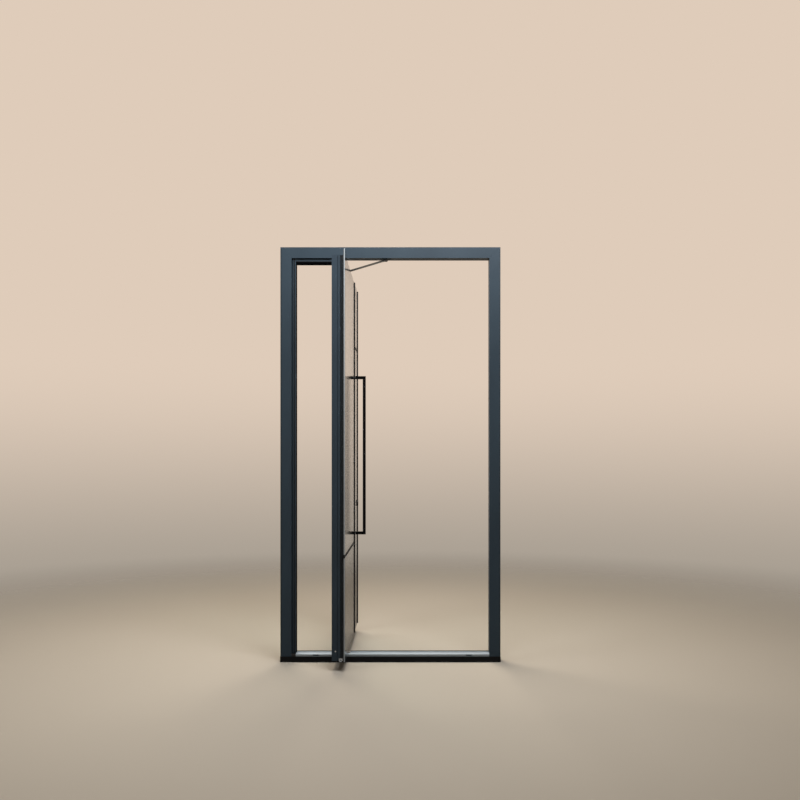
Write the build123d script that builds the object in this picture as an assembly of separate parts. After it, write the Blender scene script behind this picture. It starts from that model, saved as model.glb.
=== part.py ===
from build123d import *
import math
import os

# Offset pivot door: a glass leaf in a dark aluminium frame, shown open at a right angle.
# X runs along the frame, Y into the room, Z up. The origin is the middle of the frame's base.
# The leaf is drawn closed, in its own axes: u along the width from the pivot (negative to the
# heel), v through the thickness (negative outside). place_leaf then turns it open.

# Frame, overall
FRAME_WIDTH = 1460.0
FRAME_HEIGHT = 2750.0
FRAME_DEPTH = 76.0
FRAME_FACE = 75.0
FRAME_WALL = 3.0
FRAME_WEB_Y = -14.0
SHADOW_WIDTH = 8.0
SHADOW_DEPTH = 12.0

# Sill and threshold
SILL_HEIGHT = 37.0
SILL_NOSE = 6.0
SILL_WALL = 3.0
THRESHOLD_HEIGHT = 19.5
THRESHOLD_FALL = 5.0
THRESHOLD_FALL_WIDTH = 18.0
THRESHOLD_WALL = 2.5
THRESHOLD_GROOVES = 5
GROOVE_PITCH = 8.0
GROOVE_WIDTH = 2.5
GROOVE_DEPTH = 0.8
DRAIN_INSETS = (163.0, 135.0)
DRAIN_LENGTH = 38.0
DRAIN_HEIGHT = 8.0
DRAIN_RISE = 8.5
THRESHOLD_SEAL_WIDTH = 6.0
THRESHOLD_SEAL_HEIGHT = 4.5
THRESHOLD_SEAL_INSET = 2.0
THRESHOLD_SEAL_EDGE = 2.0

# Leaf, overall
EDGE_GAP = 3.0
HEEL_WIDTH = 329.0
LEAF_THICKNESS = 86.0
LEAF_BOTTOM = 66.0
OPEN_ANGLE = 90.0
LIP = 32.0
STEP_FROM_PIVOT = 62.0

# Leaf profiles
PROFILE_BOX = 55.0
PROFILE_FLANGE = 15.0
PROFILE_WALL = 2.5
EDGE_STEP = 3.0
EDGE_STEP_V = -10.5
EDGE_GROOVE_DEPTH = 4.0
EDGE_GROOVE_WIDTH = 5.0
EDGE_GROOVE_V = 6.0
SIDE_WIDTH = 365.0
MID_STILE_HALF = 25.0
TRANSOM_HALF = 20.0
TRANSOM_FLANGE = 12.0
MAIN_TRANSOM_Z = 731.0
SIDE_TRANSOM_DROP = 468.0

# Glass
OUTER_GLASS = 10.0
GLASS_ARRIS = 1.0
BOND = 7.0
INNER_GLASS = 8.0
SPACER_DEPTH = 16.0
SPACER_WIDTH = 8.0
GLASS_REBATE = 3.0
BOND_INSET = 3.0
GASKET_THICKNESS = 4.0
GASKET_WIDTH = 10.0
GASKET_INSET = 2.0
MID_JOINT = 14.0
TRANSOM_JOINT = 22.0
JOINT_RECESS = 0.5
SETTING_BLOCK_LENGTH = 80.0

# Cover strips and lips
COVER_PROUD = 5.5
COVER_EDGE_RADIUS = 1.5
MID_COVER_WIDTH = 25.0
MID_COVER_STEM = 8.0
TOE_TRIM_WIDTH = 12.5
TOE_STILE_SETBACK = 4.0
LIP_COVER_THICKNESS = 6.5
LIP_COVER_OVERLAP = 22.0
LIP_SEAL_WIDTH = 14.0
LIP_SEAL_INSET = 5.0
SEAL_CLEARANCE = 0.4

# Stops on the heel side of the frame
STOP_CLEARANCE = 3.0
STOP_SWING_GAP = 7.0
STOP_SEAL = 3.6
STOP_WALL = 2.0
STOP_GROOVE_WIDTH = 6.0
STOP_GROOVE_DEPTH = 3.0
STOP_GROOVE_INSET = 10.5
STOP_RECESS_WIDTH = 7.0
STOP_RECESS_DEPTH = 8.0

# Bottom seal of the leaf
BULB_RADIUS = 10.0
BULB_BORE = 6.5
BULB_V = -14.0
BULB_DROP = 4.5
CARRIER_WIDTH = 23.0
CARRIER_DEPTH = 17.0

# Pivots
SHOE_HALF_LENGTH = 45.0
SHOE_HALF_WIDTH = 20.0
SHOE_DEPTH = 45.0
SPINDLE_RADIUS = 9.0
SPINDLE_LENGTH = 26.0
SPINDLE_END_GAP = 2.0
PIVOT_PLATE_HALF_LENGTH = 55.0
PIVOT_PLATE_HALF_WIDTH = 24.0
PIVOT_PLATE_THICKNESS = 4.0
PLATE_CORNER = 4.0
TOP_PIN_RADIUS = 8.0
TOP_PIN_REACH = 22.0
PIN_CHAMFER = 1.5
TOP_COLLAR_RADIUS = 14.0
TOP_COLLAR_HEIGHT = 6.0
HEAD_BEARING_HALF_LENGTH = 35.0
HEAD_BEARING_DEPTH = 30.0
HEAD_BEARING_BACK = 27.0
HEAD_BEARING_FLOOR = 3.0
RUNNING_FIT = 0.05
WASHER_RADIUS = 18.0
WASHER_GAP = 0.3

# Stay arm, its slider and track
ARM_PIVOT_X = -30.0
ARM_OPEN_U = 254.0
ARM_WIDTH = 24.0
ARM_THICKNESS = 5.0
ARM_LEAF_CLEARANCE = 2.5
ARM_RISE = 22.5
ARM_FLAT = 45.0
ARM_EYE_RADIUS = 4.0
ARM_CAP_RADIUS = 9.0
ARM_CAP_THICKNESS = 3.0
ARM_END_GAP = 0.4
BRACKET_LENGTH = 70.0
BRACKET_WIDTH = 30.0
BRACKET_THICKNESS = 3.0
TRACK_WIDTH = 16.0
TRACK_DEPTH = 12.0
TRACK_WALL = 2.0
TRACK_OVERRUN = 28.0
SLIDER_LENGTH = 36.0
SLIDER_CLEARANCE = 0.3
SLIDER_RECESS = 1.0
STUD_RADIUS = 5.5

# Pull handles
HANDLE_OFFSET = 142.0
HANDLE_TOP_MARGIN = 208.0
HANDLE_LENGTH = 1190.0
HANDLE_BAR = 22.0
HANDLE_PROJECTION = 76.0
HANDLE_EDGE_RADIUS = 2.0
SLEEVE_RADIUS = 9.0
HANDLE_BOLT_RADIUS = 4.0
HOLE_CLEARANCE = 0.5

# Lock
LOCK_BACKSET = 37.0
LOCK_Z = 1010.0
LOCK_CASE_BOTTOM = 960.0
LOCK_CASE_HEIGHT = 180.0
LOCK_CASE_LENGTH = 43.0
LOCK_CASE_HALF_WIDTH = 9.0
BOLT_Z = 1090.0
BOLT_HEIGHT = 30.0
BOLT_THICKNESS = 12.0
BOLT_LENGTH = 28.0
BOLT_CLEARANCE = 0.3
BOLT_CHAMFER = 1.0
STRIKE_CLEARANCE = 1.0
FACEPLATE_THICKNESS = 3.0
FACEPLATE_WIDTH = 20.0
FACEPLATE_MARGIN = 30.0
CYLINDER_RADIUS = 8.5
CYLINDER_FIN = 10.0
CYLINDER_DROP = 25.0
CYLINDER_PROUD = 8.5
KEYWAY_WIDTH = 2.0
KEYWAY_HEIGHT = 9.0
KEYWAY_DEPTH = 12.0
ROSETTE_RADIUS = 24.0
ROSETTE_THICKNESS = 8.0
TURN_STEM_RADIUS = 4.0
TURN_STEM_LENGTH = 12.0
TURN_LENGTH = 36.0
TURN_WIDTH = 12.0
TURN_DEPTH = 20.0
TURN_GAP = 1.0
STRIKE_WIDTH = 26.0
STRIKE_MARGIN = 25.0

# Fixing of the frame to the wall
FIXING_END = 250.0
FIXING_COUNT = 4
FIXING_RADIUS = 5.5
FIXING_Y = 12.0
CLEAT_LEG = 110.0
CLEAT_HALF_THICKNESS = 12.0

# Worked out from the sizes above
HALF_WIDTH = FRAME_WIDTH / 2
FRONT = -FRAME_DEPTH / 2
BACK = FRAME_DEPTH / 2
REVEAL_X = HALF_WIDTH - FRAME_FACE
HEAD_UNDER = FRAME_HEIGHT - FRAME_FACE
THRESHOLD_TOP = SILL_HEIGHT + THRESHOLD_HEIGHT
PIVOT_X = -REVEAL_X + EDGE_GAP + HEEL_WIDTH
PIVOT_Y = FRONT + LEAF_THICKNESS / 2
U_HEEL_LIP = -HEEL_WIDTH
U_HEEL = U_HEEL_LIP + LIP
U_END = REVEAL_X - EDGE_GAP - PIVOT_X
U_TOE = U_END - TOE_STILE_SETBACK
LIP_TOP = HEAD_UNDER - EDGE_GAP
LEAF_TOP = LIP_TOP - LIP
V_OUT = -LEAF_THICKNESS / 2
V_IN = LEAF_THICKNESS / 2
V_GLASS_BACK = V_OUT + OUTER_GLASS
V_CORE = V_GLASS_BACK + BOND
V_INNER_GLASS = V_GLASS_BACK + SPACER_DEPTH
V_INNER_BACK = V_INNER_GLASS + INNER_GLASS
V_FLANGE = V_INNER_BACK + GASKET_THICKNESS
PROFILE_SIGHT = PROFILE_BOX + PROFILE_FLANGE
CHAMBER_EDGE = EDGE_GROOVE_DEPTH + PROFILE_WALL
STOP_Y = FRONT + OUTER_GLASS + STOP_SEAL + SEAL_CLEARANCE
JAMB_STOP_WIDTH = EDGE_GAP + LIP - STOP_SWING_GAP
HEAD_STOP_DROP = EDGE_GAP + LIP - STOP_CLEARANCE
HEAD_STOP_END = PIVOT_X - STEP_FROM_PIVOT
ARM_SPAN = ARM_PIVOT_X - PIVOT_X
ARM_LENGTH = math.hypot(ARM_SPAN, ARM_OPEN_U)
ARM_OPEN_ANGLE = math.degrees(math.atan2(ARM_OPEN_U, -ARM_SPAN))
ARM_CLOSED_U = ARM_SPAN + ARM_LENGTH
ARM_LOW = LEAF_TOP + ARM_LEAF_CLEARANCE
ARM_HIGH = ARM_LOW + ARM_RISE
MID_STILE_U = U_END - SIDE_WIDTH
SIDE_TRANSOM_Z = LEAF_TOP - SIDE_TRANSOM_DROP
HANDLE_U = MID_STILE_U + HANDLE_OFFSET
HANDLE_BOTTOM = SIDE_TRANSOM_Z - HANDLE_TOP_MARGIN - HANDLE_LENGTH
LOCK_U = U_TOE - LOCK_BACKSET
PAST = 1.0


def block(u0, u1, v0, v1, z0, z1):
    """A straight bar given by its two faces along each axis."""
    centre = Pos((u0 + u1) / 2, (v0 + v1) / 2, (z0 + z1) / 2)
    return centre * Box(u1 - u0, v1 - v0, z1 - z0)


def upright(radius, u, v, z0, z1):
    """A round bar along Z."""
    return Pos(u, v, (z0 + z1) / 2) * Cylinder(radius, z1 - z0)


def through(radius, u, z, v0, v1):
    """A round bar along v, through the leaf's thickness."""
    return Pos(u, (v0 + v1) / 2, z) * Rot(90, 0, 0) * Cylinder(radius, v1 - v0)


def along_x(radius, x0, x1, y, z):
    """A round bar along X."""
    return Pos((x0 + x1) / 2, y, z) * Rot(0, 90, 0) * Cylinder(radius, x1 - x0)


def place_leaf(shape):
    """Carries a leaf piece from the leaf's axes to its open place in the frame."""
    return Pos(PIVOT_X, PIVOT_Y, 0) * Rot(0, 0, OPEN_ANGLE) * shape


def group(*shapes):
    """Several solids that share one node."""
    solids = []
    for shape in shapes:
        solids.extend(shape.solids())
    return Compound(children=solids)


def ring(outer, inner, v0, v1):
    """A flat rectangular ring; outer and inner are (u0, u1, z0, z1)."""
    around = block(outer[0], outer[1], v0, v1, outer[2], outer[3])
    hole = block(inner[0], inner[1], v0 - PAST, v1 + PAST, inner[2], inner[3])
    return around - hole


def inset(rect, by):
    """A rectangle drawn in by the same amount on all four sides."""
    return (rect[0] + by, rect[1] - by, rect[2] + by, rect[3] - by)


def mitred(section, length, start=True, end=True):
    """Extrudes a section along Z and mitres its ends at 45 degrees; X = 0 is the outer edge."""
    bar = extrude(section, amount=length)
    reach = FRAME_FACE * 2
    corner = Plane.XZ * Polygon((-reach, -reach), (reach, reach), (reach, -reach), align=None)
    wedge = extrude(corner, amount=reach, both=True)
    if start:
        bar = bar - wedge
    if end:
        bar = bar - Pos(0, 0, length) * mirror(wedge, about=Plane.XY)
    return bar


def lie_down(bar):
    """Turns an upright bar into a level one: its outer edge faces down, its length runs along X."""
    return mirror(bar, about=Plane(origin=(0, 0, 0), z_dir=(1, 0, -1)))


def frame_section():
    """Hollow frame profile with the shadow recess at its outer front corner and one web."""
    outline = Polygon(
        (SHADOW_WIDTH, FRONT), (FRAME_FACE, FRONT), (FRAME_FACE, BACK), (0, BACK),
        (0, FRONT + SHADOW_DEPTH), (SHADOW_WIDTH, FRONT + SHADOW_DEPTH), align=None,
    )
    hollow = offset(outline, amount=-FRAME_WALL, kind=Kind.INTERSECTION)
    web = Pos(FRAME_FACE / 2, FRAME_WEB_Y + FRAME_WALL / 2) * Rectangle(FRAME_FACE, FRAME_WALL)
    return outline - hollow + (web & hollow)


def leaf_section():
    """Hollow leaf profile: box, glazing flange, hardware groove and an edge set back outside."""
    groove_low = EDGE_GROOVE_V - EDGE_GROOVE_WIDTH / 2
    groove_high = EDGE_GROOVE_V + EDGE_GROOVE_WIDTH / 2
    outline = Polygon(
        (EDGE_STEP, V_CORE), (PROFILE_BOX, V_CORE), (PROFILE_BOX, V_FLANGE),
        (PROFILE_SIGHT, V_FLANGE), (PROFILE_SIGHT, V_IN), (0, V_IN), (0, groove_high),
        (EDGE_GROOVE_DEPTH, groove_high), (EDGE_GROOVE_DEPTH, groove_low),
        (0, groove_low), (0, EDGE_STEP_V), (EDGE_STEP, EDGE_STEP_V), align=None,
    )
    box = Polygon(
        (CHAMBER_EDGE, V_CORE + PROFILE_WALL), (PROFILE_BOX - PROFILE_WALL, V_CORE + PROFILE_WALL),
        (PROFILE_BOX - PROFILE_WALL, V_IN - PROFILE_WALL), (CHAMBER_EDGE, V_IN - PROFILE_WALL),
        align=None,
    )
    flange = Polygon(
        (PROFILE_BOX, V_FLANGE + PROFILE_WALL), (PROFILE_SIGHT - PROFILE_WALL, V_FLANGE + PROFILE_WALL),
        (PROFILE_SIGHT - PROFILE_WALL, V_IN - PROFILE_WALL), (PROFILE_BOX, V_IN - PROFILE_WALL),
        align=None,
    )
    return outline - box - flange


def divider(length, half, flange):
    """Upright T-shaped divider, hollow, with its front coped past the flanges at both ends."""
    wide = half + flange
    rear = block(-wide, wide, V_FLANGE, V_IN, 0, length)
    rear = rear - block(-wide + PROFILE_WALL, wide - PROFILE_WALL, V_FLANGE + PROFILE_WALL,
                        V_IN - PROFILE_WALL, -PAST, length + PAST)
    front = block(-half, half, V_CORE, V_FLANGE, -PROFILE_FLANGE, length + PROFILE_FLANGE)
    front = front - block(-half + PROFILE_WALL, half - PROFILE_WALL, V_CORE + PROFILE_WALL,
                          V_FLANGE, -PROFILE_FLANGE - PAST, length + PROFILE_FLANGE + PAST)
    return rear + front


def frame_bars():
    """Two jambs that stand on the sill and the head, mitred together at the top."""
    section = frame_section()
    height = FRAME_HEIGHT - SILL_HEIGHT
    jamb = mitred(section, height, start=False)
    heel = Pos(-HALF_WIDTH, 0, SILL_HEIGHT) * jamb
    toe = Pos(HALF_WIDTH, 0, SILL_HEIGHT) * mirror(jamb, about=Plane.YZ)
    level = lie_down(mitred(section, FRAME_WIDTH))
    head = Pos(-HALF_WIDTH, 0, FRAME_HEIGHT) * mirror(level, about=Plane.XY)
    spacing = (FRAME_HEIGHT - 2 * FIXING_END) / (FIXING_COUNT - 1)
    for index in range(FIXING_COUNT):
        z = FIXING_END + index * spacing
        heel = heel - along_x(FIXING_RADIUS, -HALF_WIDTH - PAST, -REVEAL_X + PAST, FIXING_Y, z)
        toe = toe - along_x(FIXING_RADIUS, REVEAL_X - PAST, HALF_WIDTH + PAST, FIXING_Y, z)
    return heel, toe - strike_plate_blank(), head - head_bearing_blank()


def base_sill():
    """Black box under the whole frame; its nose stands in front of the jambs."""
    outer = block(-HALF_WIDTH, HALF_WIDTH, FRONT - SILL_NOSE, BACK, 0, SILL_HEIGHT)
    ends = (-HALF_WIDTH - PAST, HALF_WIDTH + PAST)
    room = block(*ends, FRONT - SILL_NOSE + SILL_WALL, -SILL_WALL / 2, SILL_WALL, SILL_HEIGHT - SILL_WALL)
    rear = block(*ends, SILL_WALL / 2, BACK - SILL_WALL, SILL_WALL, SILL_HEIGHT - SILL_WALL)
    return outer - room - rear


def threshold():
    """Silver hollow threshold: sloped nose, grooved tread and a drain slot near each end."""
    top = THRESHOLD_TOP
    outline = Polygon(
        (FRONT, SILL_HEIGHT), (BACK, SILL_HEIGHT), (BACK, top),
        (FRONT + THRESHOLD_FALL_WIDTH, top), (FRONT, top - THRESHOLD_FALL), align=None,
    )
    hollow = offset(outline, amount=-THRESHOLD_WALL, kind=Kind.INTERSECTION)
    web = Pos(0, SILL_HEIGHT + THRESHOLD_HEIGHT / 2) * Rectangle(THRESHOLD_WALL, THRESHOLD_HEIGHT)
    section = outline - hollow + (web & hollow)
    for index in range(THRESHOLD_GROOVES):
        y = PIVOT_Y + (index - (THRESHOLD_GROOVES - 1) / 2) * GROOVE_PITCH
        section = section - Pos(y, top) * Rectangle(GROOVE_WIDTH, 2 * GROOVE_DEPTH)
    bar = extrude(Plane.YZ * section, amount=REVEAL_X, both=True)
    heel_inset, toe_inset = DRAIN_INSETS
    for centre in (-REVEAL_X + heel_inset, REVEAL_X - toe_inset):
        low = SILL_HEIGHT + DRAIN_RISE - DRAIN_HEIGHT / 2
        bar = bar - block(centre - DRAIN_LENGTH / 2, centre + DRAIN_LENGTH / 2, FRONT - PAST,
                          FRONT + THRESHOLD_WALL + PAST, low, low + DRAIN_HEIGHT)
    return bar


def threshold_seal():
    """Black rubber lip along the inner edge of the threshold."""
    back = BACK - THRESHOLD_SEAL_INSET
    foot = block(-REVEAL_X + JAMB_STOP_WIDTH, REVEAL_X, back - THRESHOLD_SEAL_WIDTH, back,
                 THRESHOLD_TOP, THRESHOLD_TOP + THRESHOLD_SEAL_HEIGHT)
    return fillet(foot.edges().filter_by(Axis.X).group_by(Axis.Z)[-1], THRESHOLD_SEAL_EDGE)


def stop_section(width):
    """Hollow stop with X from the reveal to the opening: a shadow recess, then a seal groove."""
    groove_start = width - STOP_GROOVE_INSET - STOP_GROOVE_WIDTH / 2
    groove_end = groove_start + STOP_GROOVE_WIDTH
    groove_floor = STOP_Y + STOP_GROOVE_DEPTH
    recess_floor = STOP_Y + STOP_RECESS_DEPTH
    outline = Polygon(
        (0, recess_floor), (STOP_RECESS_WIDTH, recess_floor), (STOP_RECESS_WIDTH, STOP_Y),
        (groove_start, STOP_Y), (groove_start, groove_floor), (groove_end, groove_floor),
        (groove_end, STOP_Y), (width, STOP_Y), (width, BACK), (0, BACK), align=None,
    )
    inner_start = STOP_RECESS_WIDTH + STOP_WALL
    hollow = Polygon(
        (STOP_WALL, recess_floor + STOP_WALL), (inner_start, recess_floor + STOP_WALL),
        (inner_start, groove_floor + STOP_WALL), (width - STOP_WALL, groove_floor + STOP_WALL),
        (width - STOP_WALL, BACK - STOP_WALL), (STOP_WALL, BACK - STOP_WALL), align=None,
    )
    return outline - hollow


def seal_section(width):
    """Hollow bulb of the stop seal, seated in the stop's groove."""
    middle = width - STOP_GROOVE_INSET
    front = STOP_Y - STOP_SEAL
    bulb = Pos(middle, front + STOP_GROOVE_WIDTH / 2) * Circle(STOP_GROOVE_WIDTH / 2)
    foot_low = front + STOP_GROOVE_WIDTH / 2
    foot_high = STOP_Y + STOP_GROOVE_DEPTH
    foot = Pos(middle, (foot_low + foot_high) / 2) * Rectangle(STOP_GROOVE_WIDTH, foot_high - foot_low)
    bore = Pos(middle, front + STOP_GROOVE_WIDTH / 2) * Circle(STOP_GROOVE_WIDTH / 4)
    return bulb + foot - bore


def heel_side_pieces(section_of):
    """An upright piece on the heel jamb and a level one under the head, from one section."""
    upright_bar = extrude(section_of(JAMB_STOP_WIDTH), amount=HEAD_UNDER - THRESHOLD_TOP)
    upright_bar = Pos(-REVEAL_X, 0, THRESHOLD_TOP) * upright_bar
    start = -REVEAL_X + JAMB_STOP_WIDTH
    level = lie_down(extrude(section_of(HEAD_STOP_DROP), amount=HEAD_STOP_END - start))
    level = Pos(start, 0, HEAD_UNDER) * mirror(level, about=Plane.XY)
    return upright_bar, level


def cleat(edge, v_middle):
    """L-shaped corner cleat that fills the width of a mitred chamber."""
    first, last = edge
    shape = Polygon(
        (first, first), (CLEAT_LEG, first), (CLEAT_LEG, last), (last, last), (last, CLEAT_LEG),
        (first, CLEAT_LEG), align=None,
    )
    return Pos(0, v_middle, 0) * extrude(Plane.XZ * shape, amount=CLEAT_HALF_THICKNESS, both=True)


def frame_cleats():
    """Cleats in the two mitred corners of the outer frame."""
    middle = (FRAME_WEB_Y + FRAME_WALL + BACK - FRAME_WALL) / 2
    corner = mirror(cleat((FRAME_WALL, FRAME_FACE - FRAME_WALL), middle), about=Plane.XY)
    heel = Pos(-HALF_WIDTH, 0, FRAME_HEIGHT) * corner
    toe = Pos(HALF_WIDTH, 0, FRAME_HEIGHT) * mirror(corner, about=Plane.YZ)
    return group(heel, toe)


def pivot_plate():
    """Floor plate on the threshold with the spindle that carries the leaf."""
    top = THRESHOLD_TOP + PIVOT_PLATE_THICKNESS
    plate = block(PIVOT_X - PIVOT_PLATE_HALF_LENGTH, PIVOT_X + PIVOT_PLATE_HALF_LENGTH,
                  PIVOT_Y - PIVOT_PLATE_HALF_WIDTH, PIVOT_Y + PIVOT_PLATE_HALF_WIDTH,
                  THRESHOLD_TOP, top)
    plate = fillet(plate.edges().filter_by(Axis.Z), PLATE_CORNER)
    spindle = upright(SPINDLE_RADIUS, PIVOT_X, PIVOT_Y, top, LEAF_BOTTOM + SPINDLE_LENGTH)
    spindle = chamfer(spindle.edges().group_by(Axis.Z)[-1], PIN_CHAMFER)
    return plate + spindle


def thrust_washer():
    """Bronze washer that takes the weight of the leaf on the floor plate."""
    low = THRESHOLD_TOP + PIVOT_PLATE_THICKNESS
    high = LEAF_BOTTOM - WASHER_GAP
    return (upright(WASHER_RADIUS, PIVOT_X, PIVOT_Y, low, high)
            - upright(SPINDLE_RADIUS + RUNNING_FIT, PIVOT_X, PIVOT_Y, low - PAST, high + PAST))


def head_bearing_blank():
    """Outer form of the bearing block, which also cuts its seat in the head."""
    return block(PIVOT_X - HEAD_BEARING_HALF_LENGTH, PIVOT_X + HEAD_BEARING_HALF_LENGTH,
                 FRAME_WEB_Y + FRAME_WALL, HEAD_BEARING_BACK, HEAD_UNDER,
                 HEAD_UNDER + HEAD_BEARING_DEPTH)


def head_bearing():
    """Bearing block in the head, with the bore for the leaf's top pin."""
    bore = upright(TOP_PIN_RADIUS + RUNNING_FIT, PIVOT_X, PIVOT_Y, HEAD_UNDER - PAST,
                   HEAD_UNDER + HEAD_BEARING_DEPTH - HEAD_BEARING_FLOOR)
    return head_bearing_blank() - bore


def stay_bracket():
    """Plate under the head with the pin and cap that hold the stay arm."""
    low = HEAD_UNDER - BRACKET_THICKNESS
    plate = block(ARM_PIVOT_X - BRACKET_LENGTH / 2, ARM_PIVOT_X + BRACKET_LENGTH / 2,
                  PIVOT_Y - BRACKET_WIDTH / 2, PIVOT_Y + BRACKET_WIDTH / 2, low, HEAD_UNDER)
    plate = fillet(plate.edges().filter_by(Axis.Z), PLATE_CORNER)
    arm_under = ARM_HIGH - ARM_END_GAP
    pin = upright(ARM_EYE_RADIUS - RUNNING_FIT, ARM_PIVOT_X, PIVOT_Y, arm_under, low)
    cap = upright(ARM_CAP_RADIUS, ARM_PIVOT_X, PIVOT_Y, arm_under - ARM_CAP_THICKNESS, arm_under)
    return plate + pin + cap


def stay_arm():
    """Cranked flat arm: level at both ends, with a long slope between and an eye at the head end."""
    half = ARM_WIDTH / 2
    plan = SlotCenterToCenter(ARM_LENGTH, ARM_WIDTH)
    plan = extrude(Pos(ARM_LENGTH / 2, 0, 0) * plan, amount=FRAME_HEIGHT)
    head_end = -half - PAST
    leaf_end = ARM_LENGTH + half + PAST
    side = Polygon(
        (head_end, ARM_HIGH), (ARM_FLAT, ARM_HIGH), (ARM_LENGTH - ARM_FLAT, ARM_LOW),
        (leaf_end, ARM_LOW), (leaf_end, ARM_LOW + ARM_THICKNESS),
        (ARM_LENGTH - ARM_FLAT, ARM_LOW + ARM_THICKNESS), (ARM_FLAT, ARM_HIGH + ARM_THICKNESS),
        (head_end, ARM_HIGH + ARM_THICKNESS), align=None,
    )
    band = extrude(Plane.XZ * side, amount=ARM_WIDTH, both=True)
    eye = upright(ARM_EYE_RADIUS, 0, 0, ARM_HIGH - PAST, ARM_HIGH + ARM_THICKNESS + PAST)
    bar = (plan & band) - eye
    return Pos(ARM_PIVOT_X, PIVOT_Y, 0) * Rot(0, 0, ARM_OPEN_ANGLE) * bar


def strike_plate_blank():
    """Outer form of the strike plate, which also cuts its seat in the toe jamb."""
    half = STRIKE_WIDTH / 2
    return block(REVEAL_X, REVEAL_X + FRAME_WALL, PIVOT_Y - half, PIVOT_Y + half,
                 BOLT_Z - BOLT_HEIGHT / 2 - STRIKE_MARGIN, BOLT_Z + BOLT_HEIGHT / 2 + STRIKE_MARGIN)


def strike_plate():
    """Steel plate in the toe jamb with the slot that takes the deadbolt."""
    half = BOLT_THICKNESS / 2 + STRIKE_CLEARANCE
    tall = BOLT_HEIGHT / 2 + STRIKE_CLEARANCE
    slot = block(REVEAL_X - PAST, REVEAL_X + FRAME_WALL + PAST, PIVOT_Y - half, PIVOT_Y + half,
                 BOLT_Z - tall, BOLT_Z + tall)
    return strike_plate_blank() - slot


def outer_panes():
    """Outer panes: (u0, u1, z0, z1) by name; the upper main pane also steps up on the heel side."""
    main_end = MID_STILE_U - MID_JOINT / 2
    side_start = MID_STILE_U + MID_JOINT / 2
    side_end = U_END - TOE_TRIM_WIDTH - JOINT_RECESS
    half = TRANSOM_JOINT / 2
    return {
        "main_lower": (U_HEEL_LIP, main_end, LEAF_BOTTOM, MAIN_TRANSOM_Z - half),
        "main_upper": (U_HEEL_LIP, main_end, MAIN_TRANSOM_Z + half, LEAF_TOP),
        "side_lower": (side_start, side_end, LEAF_BOTTOM, SIDE_TRANSOM_Z - half),
        "side_upper": (side_start, side_end, SIDE_TRANSOM_Z + half, LEAF_TOP),
    }


def sight_openings():
    """Clear rectangles between the boxes of the leaf's profiles, by the name of the pane."""
    left = U_HEEL + PROFILE_BOX
    main_right = MID_STILE_U - MID_STILE_HALF
    side_left = MID_STILE_U + MID_STILE_HALF
    right = U_TOE - PROFILE_BOX
    low = LEAF_BOTTOM + PROFILE_BOX
    high = LEAF_TOP - PROFILE_BOX
    return {
        "main_lower": (left, main_right, low, MAIN_TRANSOM_Z - TRANSOM_HALF),
        "main_upper": (left, main_right, MAIN_TRANSOM_Z + TRANSOM_HALF, high),
        "side_lower": (side_left, right, low, SIDE_TRANSOM_Z - TRANSOM_HALF),
        "side_upper": (side_left, right, SIDE_TRANSOM_Z + TRANSOM_HALF, high),
    }


def handle_legs():
    """Heights of the middle of the two legs of a handle."""
    return (HANDLE_BOTTOM + HANDLE_BAR / 2, HANDLE_BOTTOM + HANDLE_LENGTH - HANDLE_BAR / 2)


def handle_holes():
    """Round holes for the handle's sleeves, through both panes."""
    radius = SLEEVE_RADIUS + HOLE_CLEARANCE
    return group(*[through(radius, HANDLE_U, z, V_OUT - PAST, V_INNER_BACK + PAST)
                   for z in handle_legs()])


def outer_pane(name):
    """One outer pane, with its handle holes and cylinder hole, and its step above the heel side."""
    u0, u1, z0, z1 = outer_panes()[name]
    pane = block(u0, u1, V_OUT, V_GLASS_BACK, z0, z1)
    if name == "main_upper":
        pane = pane + block(u0, -STEP_FROM_PIVOT, V_OUT, V_GLASS_BACK, z0, LIP_TOP)
    pane = chamfer(pane.edges(), GLASS_ARRIS)
    if name == "side_lower":
        pane = pane - handle_holes() - lock_cylinder_body(HOLE_CLEARANCE)
    return pane


def inner_pane(name):
    """One inner pane, set back from the profiles all round."""
    u0, u1, z0, z1 = inset(sight_openings()[name], GLASS_REBATE)
    pane = block(u0, u1, V_INNER_GLASS, V_INNER_BACK, z0, z1)
    if name == "side_lower":
        pane = pane - handle_holes()
    return pane


def spacer_bars():
    """Spacer frames that hold the two panes of each unit apart."""
    rings = []
    for opening in sight_openings().values():
        edge = inset(opening, GLASS_REBATE)
        rings.append(ring(edge, inset(edge, SPACER_WIDTH), V_GLASS_BACK, V_INNER_GLASS))
    return group(*rings)


def bonding_seals():
    """Black bonding between each outer pane and the front of the profiles behind it."""
    panes = outer_panes()
    openings = sight_openings()
    rings = []
    for name, (u0, u1, z0, z1) in panes.items():
        low = max(z0, LEAF_BOTTOM + BOND_INSET) if name.endswith("lower") else z0
        high = min(z1, LEAF_TOP - BOND_INSET) if name.endswith("upper") else z1
        left = U_HEEL + BOND_INSET if name.startswith("main") else u0
        outline = (left, u1, low, high)
        seal = ring(outline, inset(openings[name], -BOND_INSET), V_GLASS_BACK, V_CORE)
        if name == "side_lower":
            seal = seal - lock_cylinder_body(HOLE_CLEARANCE)
        rings.append(seal)
    return group(*rings)


def glazing_gaskets():
    """Inner gaskets between the glazing flanges and the inner panes."""
    rings = []
    for opening in sight_openings().values():
        edge = inset(opening, GLASS_REBATE + GASKET_INSET)
        rings.append(ring(edge, inset(edge, GASKET_WIDTH), V_INNER_BACK, V_FLANGE))
    return group(*rings)


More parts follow.
